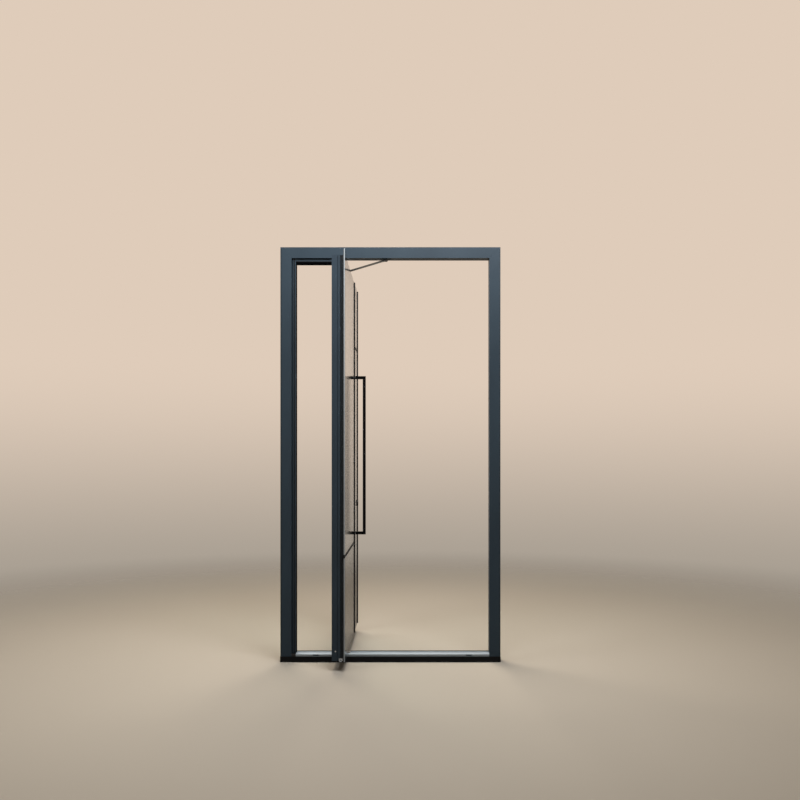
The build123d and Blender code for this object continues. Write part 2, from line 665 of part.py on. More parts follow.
def setting_blocks():
    """Two small blocks under each inner pane, which carry its weight."""
    blocks = []
    for u0, u1, z0, z1 in sight_openings().values():
        quarter = (u1 - u0) / 4
        for middle in (u0 + quarter, u1 - quarter):
            blocks.append(block(middle - SETTING_BLOCK_LENGTH / 2, middle + SETTING_BLOCK_LENGTH / 2,
                                V_INNER_GLASS, V_INNER_BACK, z0, z0 + GLASS_REBATE))
    return group(*blocks)


def joint_gaskets():
    """Black flush joints in front of the two transoms."""
    half = TRANSOM_JOINT / 2
    front = V_OUT + JOINT_RECESS
    panes = outer_panes()
    bars = []
    for name, height in (("main_lower", MAIN_TRANSOM_Z), ("side_lower", SIDE_TRANSOM_Z)):
        u0, u1, z0, z1 = panes[name]
        bars.append(block(u0, u1, front, V_GLASS_BACK, height - half, height + half))
        left = max(u0, U_HEEL)
        bars[-1] = bars[-1] + block(left, u1, V_GLASS_BACK, V_CORE, height - half, height + half)
    return group(*bars)


def mid_cover():
    """Black vertical strip over the joint between the main and side panes."""
    half = MID_COVER_WIDTH / 2
    stem = MID_COVER_STEM / 2
    face = block(MID_STILE_U - half, MID_STILE_U + half, V_OUT - COVER_PROUD, V_OUT,
                 LEAF_BOTTOM, LEAF_TOP)
    face = fillet(face.edges().filter_by(Axis.Z).group_by(Axis.Y)[0], COVER_EDGE_RADIUS)
    return face + block(MID_STILE_U - stem, MID_STILE_U + stem, V_OUT, V_CORE, LEAF_BOTTOM, LEAF_TOP)


def toe_trim():
    """Black strip that covers the toe edge of the outer panes."""
    bar = block(U_END - TOE_TRIM_WIDTH, U_END, V_OUT - COVER_PROUD, V_CORE, LEAF_BOTTOM, LEAF_TOP)
    return fillet(bar.edges().filter_by(Axis.Z).group_by(Axis.Y)[0], COVER_EDGE_RADIUS)


def cover_lips():
    """Inner lips on the toe side: an upright one and one along the top, over the frame's inner face."""
    v0 = V_IN - LIP_COVER_THICKNESS
    end = U_END + EDGE_GAP + LIP_COVER_OVERLAP
    top = HEAD_UNDER + LIP_COVER_OVERLAP
    side = block(U_TOE, end, v0, V_IN, LEAF_BOTTOM, top)
    level = block(STEP_FROM_PIVOT, U_TOE, v0, V_IN, LEAF_TOP, top)
    return group(side, level)


def cover_lip_seals():
    """Rubber seals on the frame side of the inner lips."""
    v1 = V_IN - LIP_COVER_THICKNESS
    v0 = BACK - PIVOT_Y + SEAL_CLEARANCE
    end = U_END + EDGE_GAP + LIP_COVER_OVERLAP - LIP_SEAL_INSET
    top = HEAD_UNDER + LIP_COVER_OVERLAP - LIP_SEAL_INSET
    side = block(end - LIP_SEAL_WIDTH, end, v0, v1, LEAF_BOTTOM, top)
    level = block(STEP_FROM_PIVOT, end - LIP_SEAL_WIDTH, v0, v1, top - LIP_SEAL_WIDTH, top)
    return group(side, level)


def bottom_seal_lengths():
    """The two stretches of the bottom seal, one each side of the pivot."""
    return ((U_HEEL, -SHOE_HALF_LENGTH), (SHOE_HALF_LENGTH, U_TOE))


def seal_carrier_blank():
    """Outer form of the bottom seal's carrier, which also cuts its channel in the profiles."""
    half = CARRIER_WIDTH / 2
    return group(*[block(u0, u1, BULB_V - half, BULB_V + half, LEAF_BOTTOM, LEAF_BOTTOM + CARRIER_DEPTH)
                   for u0, u1 in bottom_seal_lengths()])


def bulb(radius):
    """Round bar in the place of the bottom seal."""
    centre_z = LEAF_BOTTOM - BULB_DROP + BULB_RADIUS
    bars = []
    for u0, u1 in bottom_seal_lengths():
        bar = Pos((u0 + u1) / 2, BULB_V, centre_z) * Rot(0, 90, 0) * Cylinder(radius, u1 - u0)
        bars.append(bar)
    return bars


def bottom_seal():
    """Hollow rubber bulb under the leaf; its open end shows at the heel edge."""
    return group(*[full - bore for full, bore in zip(bulb(BULB_RADIUS), bulb(BULB_BORE))])


def seal_carrier():
    """Channel that holds the bottom seal in the bottom rail."""
    carriers = []
    for (u0, u1), full in zip(bottom_seal_lengths(), bulb(BULB_RADIUS)):
        half = CARRIER_WIDTH / 2
        bar = block(u0, u1, BULB_V - half, BULB_V + half, LEAF_BOTTOM, LEAF_BOTTOM + CARRIER_DEPTH)
        throat = block(u0 - PAST, u1 + PAST, BULB_V - BULB_RADIUS, BULB_V + BULB_RADIUS,
                       LEAF_BOTTOM - PAST, LEAF_BOTTOM - BULB_DROP + BULB_RADIUS)
        carriers.append(bar - full - throat)
    return group(*carriers)


def leaf_bars():
    """Four mitred profiles of the leaf, cut for the seal, the pivots, the stay track and the lock."""
    section = leaf_section()
    height = LEAF_TOP - LEAF_BOTTOM
    width = U_TOE - U_HEEL
    stile = mitred(section, height)
    rail = lie_down(mitred(section, width))
    heel = Pos(U_HEEL, 0, LEAF_BOTTOM) * stile
    toe = Pos(U_TOE, 0, LEAF_BOTTOM) * mirror(stile, about=Plane.YZ)
    bottom = Pos(U_HEEL, 0, LEAF_BOTTOM) * rail
    top = Pos(U_HEEL, 0, LEAF_TOP) * mirror(rail, about=Plane.XY)
    heel = heel - seal_carrier_blank()
    toe = toe - seal_carrier_blank() - faceplate_blank() - bolt_way()
    toe = toe - lock_cylinder_body(HOLE_CLEARANCE)
    bottom = bottom - seal_carrier_blank() - shoe_blank(LEAF_BOTTOM, LEAF_BOTTOM + SHOE_DEPTH)
    top = top - shoe_blank(LEAF_TOP - SHOE_DEPTH, LEAF_TOP) - track_blank()
    return heel, toe, bottom, top


def mid_stile():
    """Upright divider behind the mid cover."""
    low = LEAF_BOTTOM + PROFILE_SIGHT
    bar = divider(LEAF_TOP - LEAF_BOTTOM - 2 * PROFILE_SIGHT, MID_STILE_HALF, PROFILE_FLANGE)
    return Pos(MID_STILE_U, 0, low) * bar


def transom(left, right, height):
    """Level divider between two uprights, given by the edges of their flanges."""
    bar = lie_down(divider(right - left, TRANSOM_HALF, TRANSOM_FLANGE))
    return Pos(left, 0, height) * bar


def leaf_cleats():
    """Cleats in the four mitred corners of the leaf."""
    middle = (V_FLANGE + V_IN) / 2
    low = cleat((CHAMBER_EDGE, PROFILE_BOX - PROFILE_WALL), middle)
    high = mirror(low, about=Plane.XY)
    cleats = []
    for shape, z in ((low, LEAF_BOTTOM), (high, LEAF_TOP)):
        cleats.append(Pos(U_HEEL, 0, z) * shape)
        cleats.append(Pos(U_TOE, 0, z) * mirror(shape, about=Plane.YZ))
    return group(*cleats)


def shoe_blank(z0, z1):
    """Outer form of a pivot block, which also cuts its seat in a rail."""
    return block(-SHOE_HALF_LENGTH, SHOE_HALF_LENGTH, -SHOE_HALF_WIDTH, SHOE_HALF_WIDTH, z0, z1)


def bottom_shoe():
    """Steel block in the bottom rail with the bore that sits on the spindle."""
    body = shoe_blank(LEAF_BOTTOM, LEAF_BOTTOM + SHOE_DEPTH)
    return body - upright(SPINDLE_RADIUS + RUNNING_FIT, 0, 0, LEAF_BOTTOM - PAST,
                          LEAF_BOTTOM + SPINDLE_LENGTH + SPINDLE_END_GAP)


def top_block():
    """Steel block in the top rail that holds the top pin."""
    body = shoe_blank(LEAF_TOP - SHOE_DEPTH, LEAF_TOP)
    return body - upright(TOP_PIN_RADIUS, 0, 0, LEAF_TOP - SHOE_DEPTH / 2, LEAF_TOP + PAST)


def top_pin():
    """Top pin with its collar; it reaches into the bearing in the head."""
    pin = upright(TOP_PIN_RADIUS, 0, 0, LEAF_TOP - SHOE_DEPTH / 2, HEAD_UNDER + TOP_PIN_REACH)
    pin = chamfer(pin.edges().group_by(Axis.Z)[-1], PIN_CHAMFER)
    return pin + upright(TOP_COLLAR_RADIUS, 0, 0, LEAF_TOP, LEAF_TOP + TOP_COLLAR_HEIGHT)


def track_blank():
    """Outer form of the stay track, which also cuts its seat in the top rail."""
    half = TRACK_WIDTH / 2
    return block(ARM_OPEN_U - TRACK_OVERRUN, ARM_CLOSED_U + TRACK_OVERRUN, -half, half,
                 LEAF_TOP - TRACK_DEPTH, LEAF_TOP)


def stay_track():
    """Steel channel in the top rail in which the stay's slider runs."""
    half = TRACK_WIDTH / 2 - TRACK_WALL
    lane = block(ARM_OPEN_U - TRACK_OVERRUN + TRACK_WALL, ARM_CLOSED_U + TRACK_OVERRUN - TRACK_WALL,
                 -half, half, LEAF_TOP - TRACK_DEPTH + TRACK_WALL, LEAF_TOP + PAST)
    return track_blank() - lane


def stay_slider():
    """Nylon slider with the round seat on which the arm's end lies."""
    half = TRACK_WIDTH / 2 - TRACK_WALL - SLIDER_CLEARANCE
    low = LEAF_TOP - TRACK_DEPTH + TRACK_WALL + SLIDER_CLEARANCE
    shoe = block(ARM_OPEN_U - SLIDER_LENGTH / 2, ARM_OPEN_U + SLIDER_LENGTH / 2, -half, half,
                 low, LEAF_TOP - SLIDER_RECESS)
    return shoe + upright(STUD_RADIUS, ARM_OPEN_U, 0, low, ARM_LOW - ARM_END_GAP)


def handle(face, side):
    """Square-section pull handle on a pane; face is the pane's face, side is -1 outside, 1 inside."""
    half = HANDLE_BAR / 2
    far = face + side * HANDLE_PROJECTION
    near = far - side * HANDLE_BAR
    grip = block(HANDLE_U - half, HANDLE_U + half, min(near, far), max(near, far),
                 HANDLE_BOTTOM, HANDLE_BOTTOM + HANDLE_LENGTH)
    body = grip
    for z in handle_legs():
        body = body + block(HANDLE_U - half, HANDLE_U + half, min(face, far), max(face, far),
                            z - half, z + half)
    body = fillet(body.edges().filter_by(Axis.Z).group_by(Axis.Y)[0 if side < 0 else -1],
                  HANDLE_EDGE_RADIUS)
    for z in handle_legs():
        body = body - through(HANDLE_BOLT_RADIUS, HANDLE_U, z, min(face, near), max(face, near))
    return body


def handle_bolts():
    """Threaded rods that join the two handles through the glass."""
    out = V_OUT - HANDLE_PROJECTION + HANDLE_BAR
    inner = V_INNER_BACK + HANDLE_PROJECTION - HANDLE_BAR
    return group(*[through(HANDLE_BOLT_RADIUS, HANDLE_U, z, out, inner) for z in handle_legs()])


def handle_sleeves():
    """Nylon sleeves round the rods, as long as the glass unit is thick."""
    sleeves = []
    for z in handle_legs():
        full = through(SLEEVE_RADIUS, HANDLE_U, z, V_OUT, V_INNER_BACK)
        bore = through(HANDLE_BOLT_RADIUS, HANDLE_U, z, V_OUT - PAST, V_INNER_BACK + PAST)
        sleeves.append(full - bore)
    return group(*sleeves)


def lock_cylinder_body(grow=0.0):
    """Profile cylinder along v: a round plug with a fin below it; grow makes the hole for it."""
    v0 = V_OUT - CYLINDER_PROUD
    v1 = V_IN + CYLINDER_PROUD
    half = CYLINDER_FIN / 2 + grow
    fin = block(LOCK_U - half, LOCK_U + half, v0, v1, LOCK_Z - CYLINDER_DROP - grow, LOCK_Z)
    return through(CYLINDER_RADIUS + grow, LOCK_U, LOCK_Z, v0, v1) + fin


def lock_cylinder():
    """Lock cylinder with a keyway outside and the bore of the thumb turn inside."""
    front = V_OUT - CYLINDER_PROUD
    keyway = block(LOCK_U - KEYWAY_WIDTH / 2, LOCK_U + KEYWAY_WIDTH / 2, front - PAST,
                   front + KEYWAY_DEPTH, LOCK_Z - KEYWAY_HEIGHT / 2, LOCK_Z + KEYWAY_HEIGHT / 2)
    end = V_IN + CYLINDER_PROUD
    stem = through(TURN_STEM_RADIUS + RUNNING_FIT, LOCK_U, LOCK_Z,
                   end - TURN_STEM_LENGTH - TURN_GAP, end + PAST)
    return lock_cylinder_body() - keyway - stem


def thumb_turn():
    """Oval knob inside, on a stem that turns in the cylinder."""
    end = V_IN + CYLINDER_PROUD
    back = V_IN + ROSETTE_THICKNESS + TURN_GAP
    stem = through(TURN_STEM_RADIUS, LOCK_U, LOCK_Z, end - TURN_STEM_LENGTH, back + PAST)
    plan = Plane.XZ * Ellipse(TURN_WIDTH / 2, TURN_LENGTH / 2)
    knob = Pos(LOCK_U, back + TURN_DEPTH, LOCK_Z) * extrude(plan, amount=TURN_DEPTH)
    return stem + knob


def rosette(v0, v1):
    """Round cover plate round the lock cylinder."""
    disc = through(ROSETTE_RADIUS, LOCK_U, LOCK_Z - CYLINDER_RADIUS, v0, v1)
    return disc - lock_cylinder_body(HOLE_CLEARANCE)


def lock_case():
    """Lock case in the toe stile, with the way for the bolt and the hole for the cylinder."""
    front = U_TOE - CHAMBER_EDGE
    body = block(front - LOCK_CASE_LENGTH, front, -LOCK_CASE_HALF_WIDTH, LOCK_CASE_HALF_WIDTH,
                 LOCK_CASE_BOTTOM, LOCK_CASE_BOTTOM + LOCK_CASE_HEIGHT)
    return body - bolt_way() - lock_cylinder_body(HOLE_CLEARANCE)


def bolt_way():
    """Space in which the deadbolt slides, with clearance all round."""
    half = BOLT_THICKNESS / 2 + BOLT_CLEARANCE
    tall = BOLT_HEIGHT / 2 + BOLT_CLEARANCE
    back = U_TOE - BOLT_LENGTH - BOLT_CLEARANCE
    return block(back, U_TOE + PAST, -half, half, BOLT_Z - tall, BOLT_Z + tall)


def deadbolt():
    """Deadbolt, drawn back so that its end is just behind the faceplate's face."""
    half = BOLT_THICKNESS / 2
    tall = BOLT_HEIGHT / 2
    bar = block(U_TOE - BOLT_LENGTH, U_TOE, -half, half, BOLT_Z - tall, BOLT_Z + tall)
    return chamfer(bar.edges().filter_by(Axis.Z).group_by(Axis.X)[-1], BOLT_CHAMFER)


def faceplate_blank():
    """Outer form of the faceplate, which also cuts its seat in the toe stile."""
    half = FACEPLATE_WIDTH / 2
    return block(U_TOE - FACEPLATE_THICKNESS, U_TOE, -half, half, LOCK_CASE_BOTTOM - FACEPLATE_MARGIN,
                 LOCK_CASE_BOTTOM + LOCK_CASE_HEIGHT + FACEPLATE_MARGIN)


def faceplate():
    """Steel faceplate on the edge of the toe stile."""
    return faceplate_blank() - bolt_way()


def frame_nodes():
    """Nodes that stay with the wall, by name."""
    heel, toe, head = frame_bars()
    jamb_stop, head_stop = heel_side_pieces(stop_section)
    return {
        "heel_jamb": heel,
        "toe_jamb": toe,
        "head": head,
        "base_sill": base_sill(),
        "threshold": threshold(),
        "threshold_seal": threshold_seal(),
        "heel_jamb_stop": jamb_stop,
        "head_stop": head_stop,
        "stop_seals": group(*heel_side_pieces(seal_section)),
        "frame_cleats": frame_cleats(),
        "floor_pivot": pivot_plate(),
        "thrust_washer": thrust_washer(),
        "head_bearing": head_bearing(),
        "stay_bracket": stay_bracket(),
        "strike_plate": strike_plate(),
    }


def leaf_nodes():
    """Nodes of the leaf, the bolt, the thumb turn and the stay's slider, in the leaf's axes."""
    heel, toe, bottom, top = leaf_bars()
    flange_left = U_HEEL + PROFILE_SIGHT
    flange_right = U_TOE - PROFILE_SIGHT
    mid_wide = MID_STILE_HALF + PROFILE_FLANGE
    nodes = {
        "heel_stile": heel,
        "toe_stile": toe,
        "bottom_rail": bottom,
        "top_rail": top,
        "mid_stile": mid_stile(),
        "main_transom": transom(flange_left, MID_STILE_U - mid_wide, MAIN_TRANSOM_Z),
        "side_transom": transom(MID_STILE_U + mid_wide, flange_right, SIDE_TRANSOM_Z),
        "leaf_cleats": leaf_cleats(),
        "spacer_bars": spacer_bars(),
        "bonding_seals": bonding_seals(),
        "glazing_gaskets": glazing_gaskets(),
        "setting_blocks": setting_blocks(),
        "joint_gaskets": joint_gaskets(),
        "mid_cover": mid_cover(),
        "toe_trim": toe_trim(),
        "cover_lips": cover_lips(),
        "cover_lip_seals": cover_lip_seals(),
        "bottom_seal": bottom_seal(),
        "seal_carrier": seal_carrier(),
        "bottom_pivot_shoe": bottom_shoe(),
        "top_pivot_block": top_block(),
        "top_pivot_pin": top_pin(),
        "stay_track": stay_track(),
        "stay_slider": stay_slider(),
        "outer_handle": handle(V_OUT, -1),
        "inner_handle": handle(V_INNER_BACK, 1),
        "handle_bolts": handle_bolts(),
        "handle_sleeves": handle_sleeves(),
        "lock_case": lock_case(),
        "faceplate": faceplate(),
        "lock_cylinder": lock_cylinder(),
        "rosettes": group(rosette(V_OUT - ROSETTE_THICKNESS, V_OUT),
                          rosette(V_IN, V_IN + ROSETTE_THICKNESS)),
        "thumb_turn": thumb_turn(),
        "deadbolt": deadbolt(),
    }
    for name in outer_panes():
        nodes["outer_pane_" + name] = outer_pane(name)
        nodes["inner_pane_" + name] = inner_pane(name)
    return nodes


def main():
    """Writes one STEP file for each node."""
    os.makedirs("parts", exist_ok=True)
    nodes = frame_nodes()
    nodes["stay_arm"] = stay_arm()
    for name, shape in leaf_nodes().items():
        nodes[name] = place_leaf(shape)
    for name, shape in nodes.items():
        export_step(shape, os.path.join("parts", name + ".step"))


main()
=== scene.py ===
import math

import bmesh
import bpy
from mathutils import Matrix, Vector


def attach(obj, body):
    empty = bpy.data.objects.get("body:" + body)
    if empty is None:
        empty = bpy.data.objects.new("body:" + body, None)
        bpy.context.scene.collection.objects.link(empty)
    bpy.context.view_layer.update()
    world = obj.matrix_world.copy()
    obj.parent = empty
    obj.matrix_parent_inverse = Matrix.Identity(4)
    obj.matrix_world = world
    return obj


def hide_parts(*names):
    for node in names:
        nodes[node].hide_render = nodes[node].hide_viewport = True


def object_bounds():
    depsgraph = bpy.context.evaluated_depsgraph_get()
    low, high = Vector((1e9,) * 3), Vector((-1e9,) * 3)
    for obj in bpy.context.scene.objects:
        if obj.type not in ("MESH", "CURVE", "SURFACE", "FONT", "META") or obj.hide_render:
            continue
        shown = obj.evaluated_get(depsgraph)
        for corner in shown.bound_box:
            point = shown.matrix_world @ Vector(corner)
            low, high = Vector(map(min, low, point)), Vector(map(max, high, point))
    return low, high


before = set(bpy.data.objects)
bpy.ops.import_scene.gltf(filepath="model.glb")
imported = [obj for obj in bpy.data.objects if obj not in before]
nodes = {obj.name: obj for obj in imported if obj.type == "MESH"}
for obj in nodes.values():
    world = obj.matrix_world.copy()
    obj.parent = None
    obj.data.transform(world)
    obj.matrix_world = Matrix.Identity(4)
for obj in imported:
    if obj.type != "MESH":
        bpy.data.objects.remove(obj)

cad_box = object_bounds()

# Frame profiles: the two jambs and the head are extruded aluminium, mitred at the top, with a
# satin anthracite powder coat. The coat is a fine orange peel, and it rounds every edge a little.
MM = 0.001


def linear(hex_colour):
    """A linear RGBA colour from an sRGB hex value."""
    parts = [int(hex_colour[i:i + 2], 16) / 255 for i in (1, 3, 5)]
    return (*[p / 12.92 if p <= 0.04045 else ((p + 0.055) / 1.055) ** 2.4 for p in parts], 1.0)


def add_node(tree, kind, settings=None, **inputs):
    """Adds a node with its settings, and gives its inputs a value or a link from a socket.

    An input is written with _ for each space in its name, or by its number, as _6.
    """
    node = tree.nodes.new(kind)
    for name, value in (settings or {}).items():
        setattr(node, name, value)
    for name, value in inputs.items():
        key = int(name[1:]) if name[1:].isdigit() else name.replace("_", " ")
        if isinstance(value, bpy.types.NodeSocket):
            tree.links.new(value, node.inputs[key])
        else:
            node.inputs[key].default_value = value
    return node


def new_material(name, colour, roughness, metallic=0.0, specular=0.5):
    """A material with one Principled shader; returns it with its tree and that shader."""
    material = bpy.data.materials.new(name)
    material.use_nodes = True
    tree = material.node_tree
    shader = tree.nodes["Principled BSDF"]
    shader.inputs["Base Color"].default_value = linear(colour)
    shader.inputs["Roughness"].default_value = roughness
    shader.inputs["Metallic"].default_value = metallic
    shader.inputs["Specular IOR Level"].default_value = specular
    material.diffuse_color = linear(colour)
    return material, tree, shader


def stretched_noise(tree, period, detail=2.0, seed=0.0):
    """Noise on Object coordinates; period is its size in mm, one number or one for each axis."""
    sizes = period if isinstance(period, tuple) else (period, period, period)
    place = add_node(tree, "ShaderNodeTexCoord")
    spread = add_node(tree, "ShaderNodeMapping", Vector=place.outputs["Object"],
                      Scale=[1 / (size * MM) for size in sizes], Location=(seed, seed, seed))
    return add_node(tree, "ShaderNodeTexNoise", Vector=spread.outputs["Vector"], Scale=1.0,
                    Detail=detail)


def textured(tree, shader, noise, rough=None, relief=None):
    """Lets a noise vary the roughness between two values, or raise a relief on the surface.

    The relief is a strength and a height in mm.
    """
    if rough:
        spread = add_node(tree, "ShaderNodeMapRange", Value=noise.outputs["Fac"], From_Min=0.3,
                          From_Max=0.7, To_Min=rough[0], To_Max=rough[1])
        tree.links.new(spread.outputs["Result"], shader.inputs["Roughness"])
    if relief:
        bump = add_node(tree, "ShaderNodeBump", Height=noise.outputs["Fac"], Strength=relief[0],
                        Distance=relief[1] * MM)
        tree.links.new(bump.outputs["Normal"], shader.inputs["Normal"])


def powder_coat(name, dark, light, roughness, specular):
    """Powder coat: two close tones in soft clouds, orange peel about 1.2 mm across, satin shine."""
    material, tree, shader = new_material(name, dark, roughness, specular=specular)
    clouds = stretched_noise(tree, (350, 350, 600))
    shade = add_node(tree, "ShaderNodeMapRange", Value=clouds.outputs["Fac"], From_Min=0.3,
                     From_Max=0.7)
    tone = add_node(tree, "ShaderNodeMix", {"data_type": "RGBA"}, _0=shade.outputs["Result"],
                    _6=linear(dark), _7=linear(light))
    tree.links.new(tone.outputs[2], shader.inputs["Base Color"])
    handled = stretched_noise(tree, (90, 90, 140), seed=4.0)
    textured(tree, shader, handled, rough=(roughness - 0.04, roughness + 0.05))
    peel = stretched_noise(tree, 1.2, detail=1.0)
    textured(tree, shader, peel, relief=(0.18, 0.05))
    return material, tree, shader, tone


def new_object(name, data):
    """A new object at the origin, in the scene."""
    made = bpy.data.objects.new(name, data)
    bpy.context.scene.collection.objects.link(made)
    return made


def built(name, shape):
    """An object with the mesh of a bmesh, which ends here."""
    mesh = bpy.data.meshes.new(name)
    shape.to_mesh(mesh)
    shape.free()
    return new_object(name, mesh)


def merged_copy(name, suffix):
    """A copy of a CAD node as one closed mesh, with its flat faces joined up again."""
    shape = bmesh.new()
    shape.from_mesh(nodes[name].data)
    bmesh.ops.remove_doubles(shape, verts=shape.verts, dist=0.01 * MM)
    bmesh.ops.dissolve_limit(shape, angle_limit=math.radians(0.5), verts=shape.verts,
                             edges=shape.edges)
    return built(name + suffix, shape)


def eased(name, body, material, radius, second=None, where=None):
    """Stands in for a CAD node, its sharp edges rounded by radius in mm.

    Faces that where picks out by their middle in mm and the way they face get the second
    material.
    """
    piece = merged_copy(name, "_eased")
    piece.data.materials.append(material)
    if second:
        piece.data.materials.append(second)
        for face in piece.data.polygons:
            face.material_index = int(where(face.center / MM, face.normal))
    piece.data.shade_smooth()
    piece.data.set_sharp_from_angle(angle=math.radians(28))
    edge = piece.modifiers.new("edge_round", "BEVEL")
    edge.width = radius * MM
    edge.segments = 2
    edge.limit_method = "ANGLE"
    edge.angle_limit = math.radians(40)
    edge.use_clamp_overlap = False
    edge.harden_normals = True
    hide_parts(name)
    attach(piece, body)


anthracite = powder_coat("anthracite_powder_coat", "#303C44", "#37444C", 0.42, 0.2)[0]
for profile in ("heel_jamb", "toe_jamb", "head"):
    eased(profile, "frame", anthracite, 0.6)

# Stops: coated bars with a shadow groove beside the jamb and a groove for the seal. Their faces
# towards the opening and the low part of the head stop are painted shade: matt black, no shine.
painted_stop_shade, tree, shader = new_material("black_pile_strip", "#0C0D0E", 0.9, specular=0.0)
# The bumps of its relief are about 0.5 mm across.
textured(tree, shader, stretched_noise(tree, 0.5, detail=1.0), relief=(0.4, 0.2))
# Faces deeper in the grooves than these places, an X and a Z in mm, keep the coat; the
# others get the painted shade.
heel_painted_shade_from, head_painted_shade_to = -629, 2662
eased("heel_jamb_stop", "frame", anthracite, 0.4, painted_stop_shade,
      lambda middle, way: way.x > 0.9 and middle.x > heel_painted_shade_from)
eased("head_stop", "frame", anthracite, 0.4, painted_stop_shade,
      lambda middle, way: middle.z < head_painted_shade_to and (way.y < -0.9 or way.z < -0.9))

# Sill: a black plastic box under the frame, extruded PVC with a dull, faintly streaked face.
# It stands on the floor and carries the threshold and the two jambs.
sill_black, tree, shader = new_material("sill_pvc", "#0B0C0D", 0.62, specular=0.15)
streaks = stretched_noise(tree, (400, 2.0, 2.0), detail=3.0)
textured(tree, shader, streaks, rough=(0.55, 0.70), relief=(0.15, 0.1))
eased("base_sill", "frame", sill_black, 0.8)


# Threshold: extruded aluminium, natural anodised, with die lines along its length, which give it
# a soft silver sheen. Its slots drain the chamber behind, and rubber closes its inner edge.
def anodised(name, colour, roughness, along, line):
    """Anodised or brushed metal: fine lines along one axis, line mm apart.

    Real ones are about 0.1 mm apart, too fine to show, and are drawn coarser.
    """
    material, tree, shader = new_material(name, colour, roughness, metallic=1.0)
    period = tuple(250 if axis == along else line for axis in "XYZ")
    lines = stretched_noise(tree, period, detail=3.0)
    textured(tree, shader, lines, rough=(roughness - 0.06, roughness + 0.08), relief=(0.25, 0.03))
    return material, tree, shader


def parted(tree, shader, limit, before, past):
    """Colours a surface one way before an X in mm and another way past it.

    Returns a socket that is 0 before it and 1 past it.
    """
    place = add_node(tree, "ShaderNodeTexCoord")
    split = add_node(tree, "ShaderNodeSeparateXYZ", Vector=place.outputs["Object"])
    far = add_node(tree, "ShaderNodeMath", {"operation": "GREATER_THAN"}, _0=split.outputs["X"],
                   _1=limit * MM)
    both = add_node(tree, "ShaderNodeMix", {"data_type": "RGBA"}, _0=far.outputs["Value"],
                    _6=before, _7=past)
    tree.links.new(both.outputs[2], shader.inputs["Base Color"])
    return far.outputs["Value"]


silver_tone, dark_end_to = "#8F9BA5", -627
silver, tree, shader = anodised("natural_anodised_aluminium", silver_tone, 0.52, "X", 0.8)
# Under the heel side's stop the threshold's end is drawn near black and not metallic.
bare = parted(tree, shader, dark_end_to, linear("#0E0F10"), linear(silver_tone))
tree.links.new(bare, shader.inputs["Metallic"])
eased("threshold", "frame", silver, 0.5)


# Seals: black EPDM rubber, extruded and a little chalky, pressed into their grooves by hand.
# The bulb under the leaf is a lighter grey silicone, and its open end shows at the heel.
def moulded_rubber(name, colour):
    """Rubber: nearly matt, with a soft bloom and a fine skin, drawn coarser than it is to show."""
    material, tree, shader = new_material(name, colour, 0.78, specular=0.3)
    textured(tree, shader, stretched_noise(tree, 30), rough=(0.70, 0.88))
    textured(tree, shader, stretched_noise(tree, 0.7, detail=1.0), relief=(0.2, 0.05))
    return material


def dress(material, *names):
    """Gives CAD nodes a material in place of their own."""
    for name in names:
        slots = nodes[name].data.materials
        slots.clear()
        slots.append(material)


dress(moulded_rubber("black_epdm", "#121314"), "threshold_seal", "stop_seals", "cover_lip_seals",
      "joint_gaskets", "glazing_gaskets", "bonding_seals")
dress(moulded_rubber("grey_silicone", "#DDE0E0"), "bottom_seal")

# Corner cleats and the seal carrier: mill-finish aluminium, sawn and pressed, hidden when fitted.
# The lines of the die run along the leaf's width.
mill = anodised("mill_aluminium", "#B4B7BA", 0.5, "Y", 0.6)[0]
dress(mill, "frame_cleats", "leaf_cleats", "seal_carrier")

# Pivots, stay and lock: steel, ground and brushed, with bronze for the washer that runs under
# the leaf's weight. The stay's bracket is coated like the head that it is screwed to.
steel = anodised("brushed_steel", "#8F9193", 0.34, "Y", 0.5)[0]
dress(steel, "floor_pivot", "head_bearing", "strike_plate", "stay_arm", "bottom_pivot_shoe",
      "top_pivot_block", "top_pivot_pin", "stay_track", "handle_bolts", "lock_case", "faceplate",
      "lock_cylinder", "deadbolt")
bronze = anodised("bearing_bronze", "#9A6B3A", 0.38, "X", 0.5)[0]
dress(bronze, "thrust_washer")
dress(anthracite, "stay_bracket")

# Nylon pieces: the stay's slider, the sleeves in the glass, the blocks that the panes stand on and
# the spacer bars between them. Moulded black polyamide has a dull, even shine.
nylon, tree, shader = new_material("black_nylon", "#1B1C1D", 0.5)
textured(tree, shader, stretched_noise(tree, 1.5), relief=(0.15, 0.05))
dress(nylon, "stay_slider", "handle_sleeves", "setting_blocks", "spacer_bars")

# Leaf profiles: coated like the frame, round four double-glazed units. The outer part of each one,
# set back behind the glass, is painted darker: painted shade for the shade in that recess.
leaf_coat, tree, shader, tone = powder_coat("anthracite_powder_coat_leaf", "#2F3A41", "#35414A",
                                            0.40, 0.2)
# Past this X, in mm, the coat is painted darker as painted shade.
painted_shade_from = -312.6
parted(tree, shader, painted_shade_from, tone.outputs[2], linear("#171D21"))
for profile in ("heel_stile", "toe_stile", "bottom_rail", "top_rail", "mid_stile", "main_transom",
                "side_transom", "cover_lips"):
    eased(profile, "leaf", leaf_coat, 0.6)

# Foam seal: black EPDM foam on the top rail, a pad each side of the top pin and a ring round it,
# which close the gap that the lips leave there. Foam has fine open pores, no shine, soft edges.
foam, tree, shader = new_material("black_epdm_foam", "#101112", 0.95, specular=0.0)
textured(tree, shader, stretched_noise(tree, 0.9, detail=1.0), relief=(0.5, 0.3))
pivot_x, pivot_y = -323, 5
foam_foot, foam_top = 2640.5, 2671
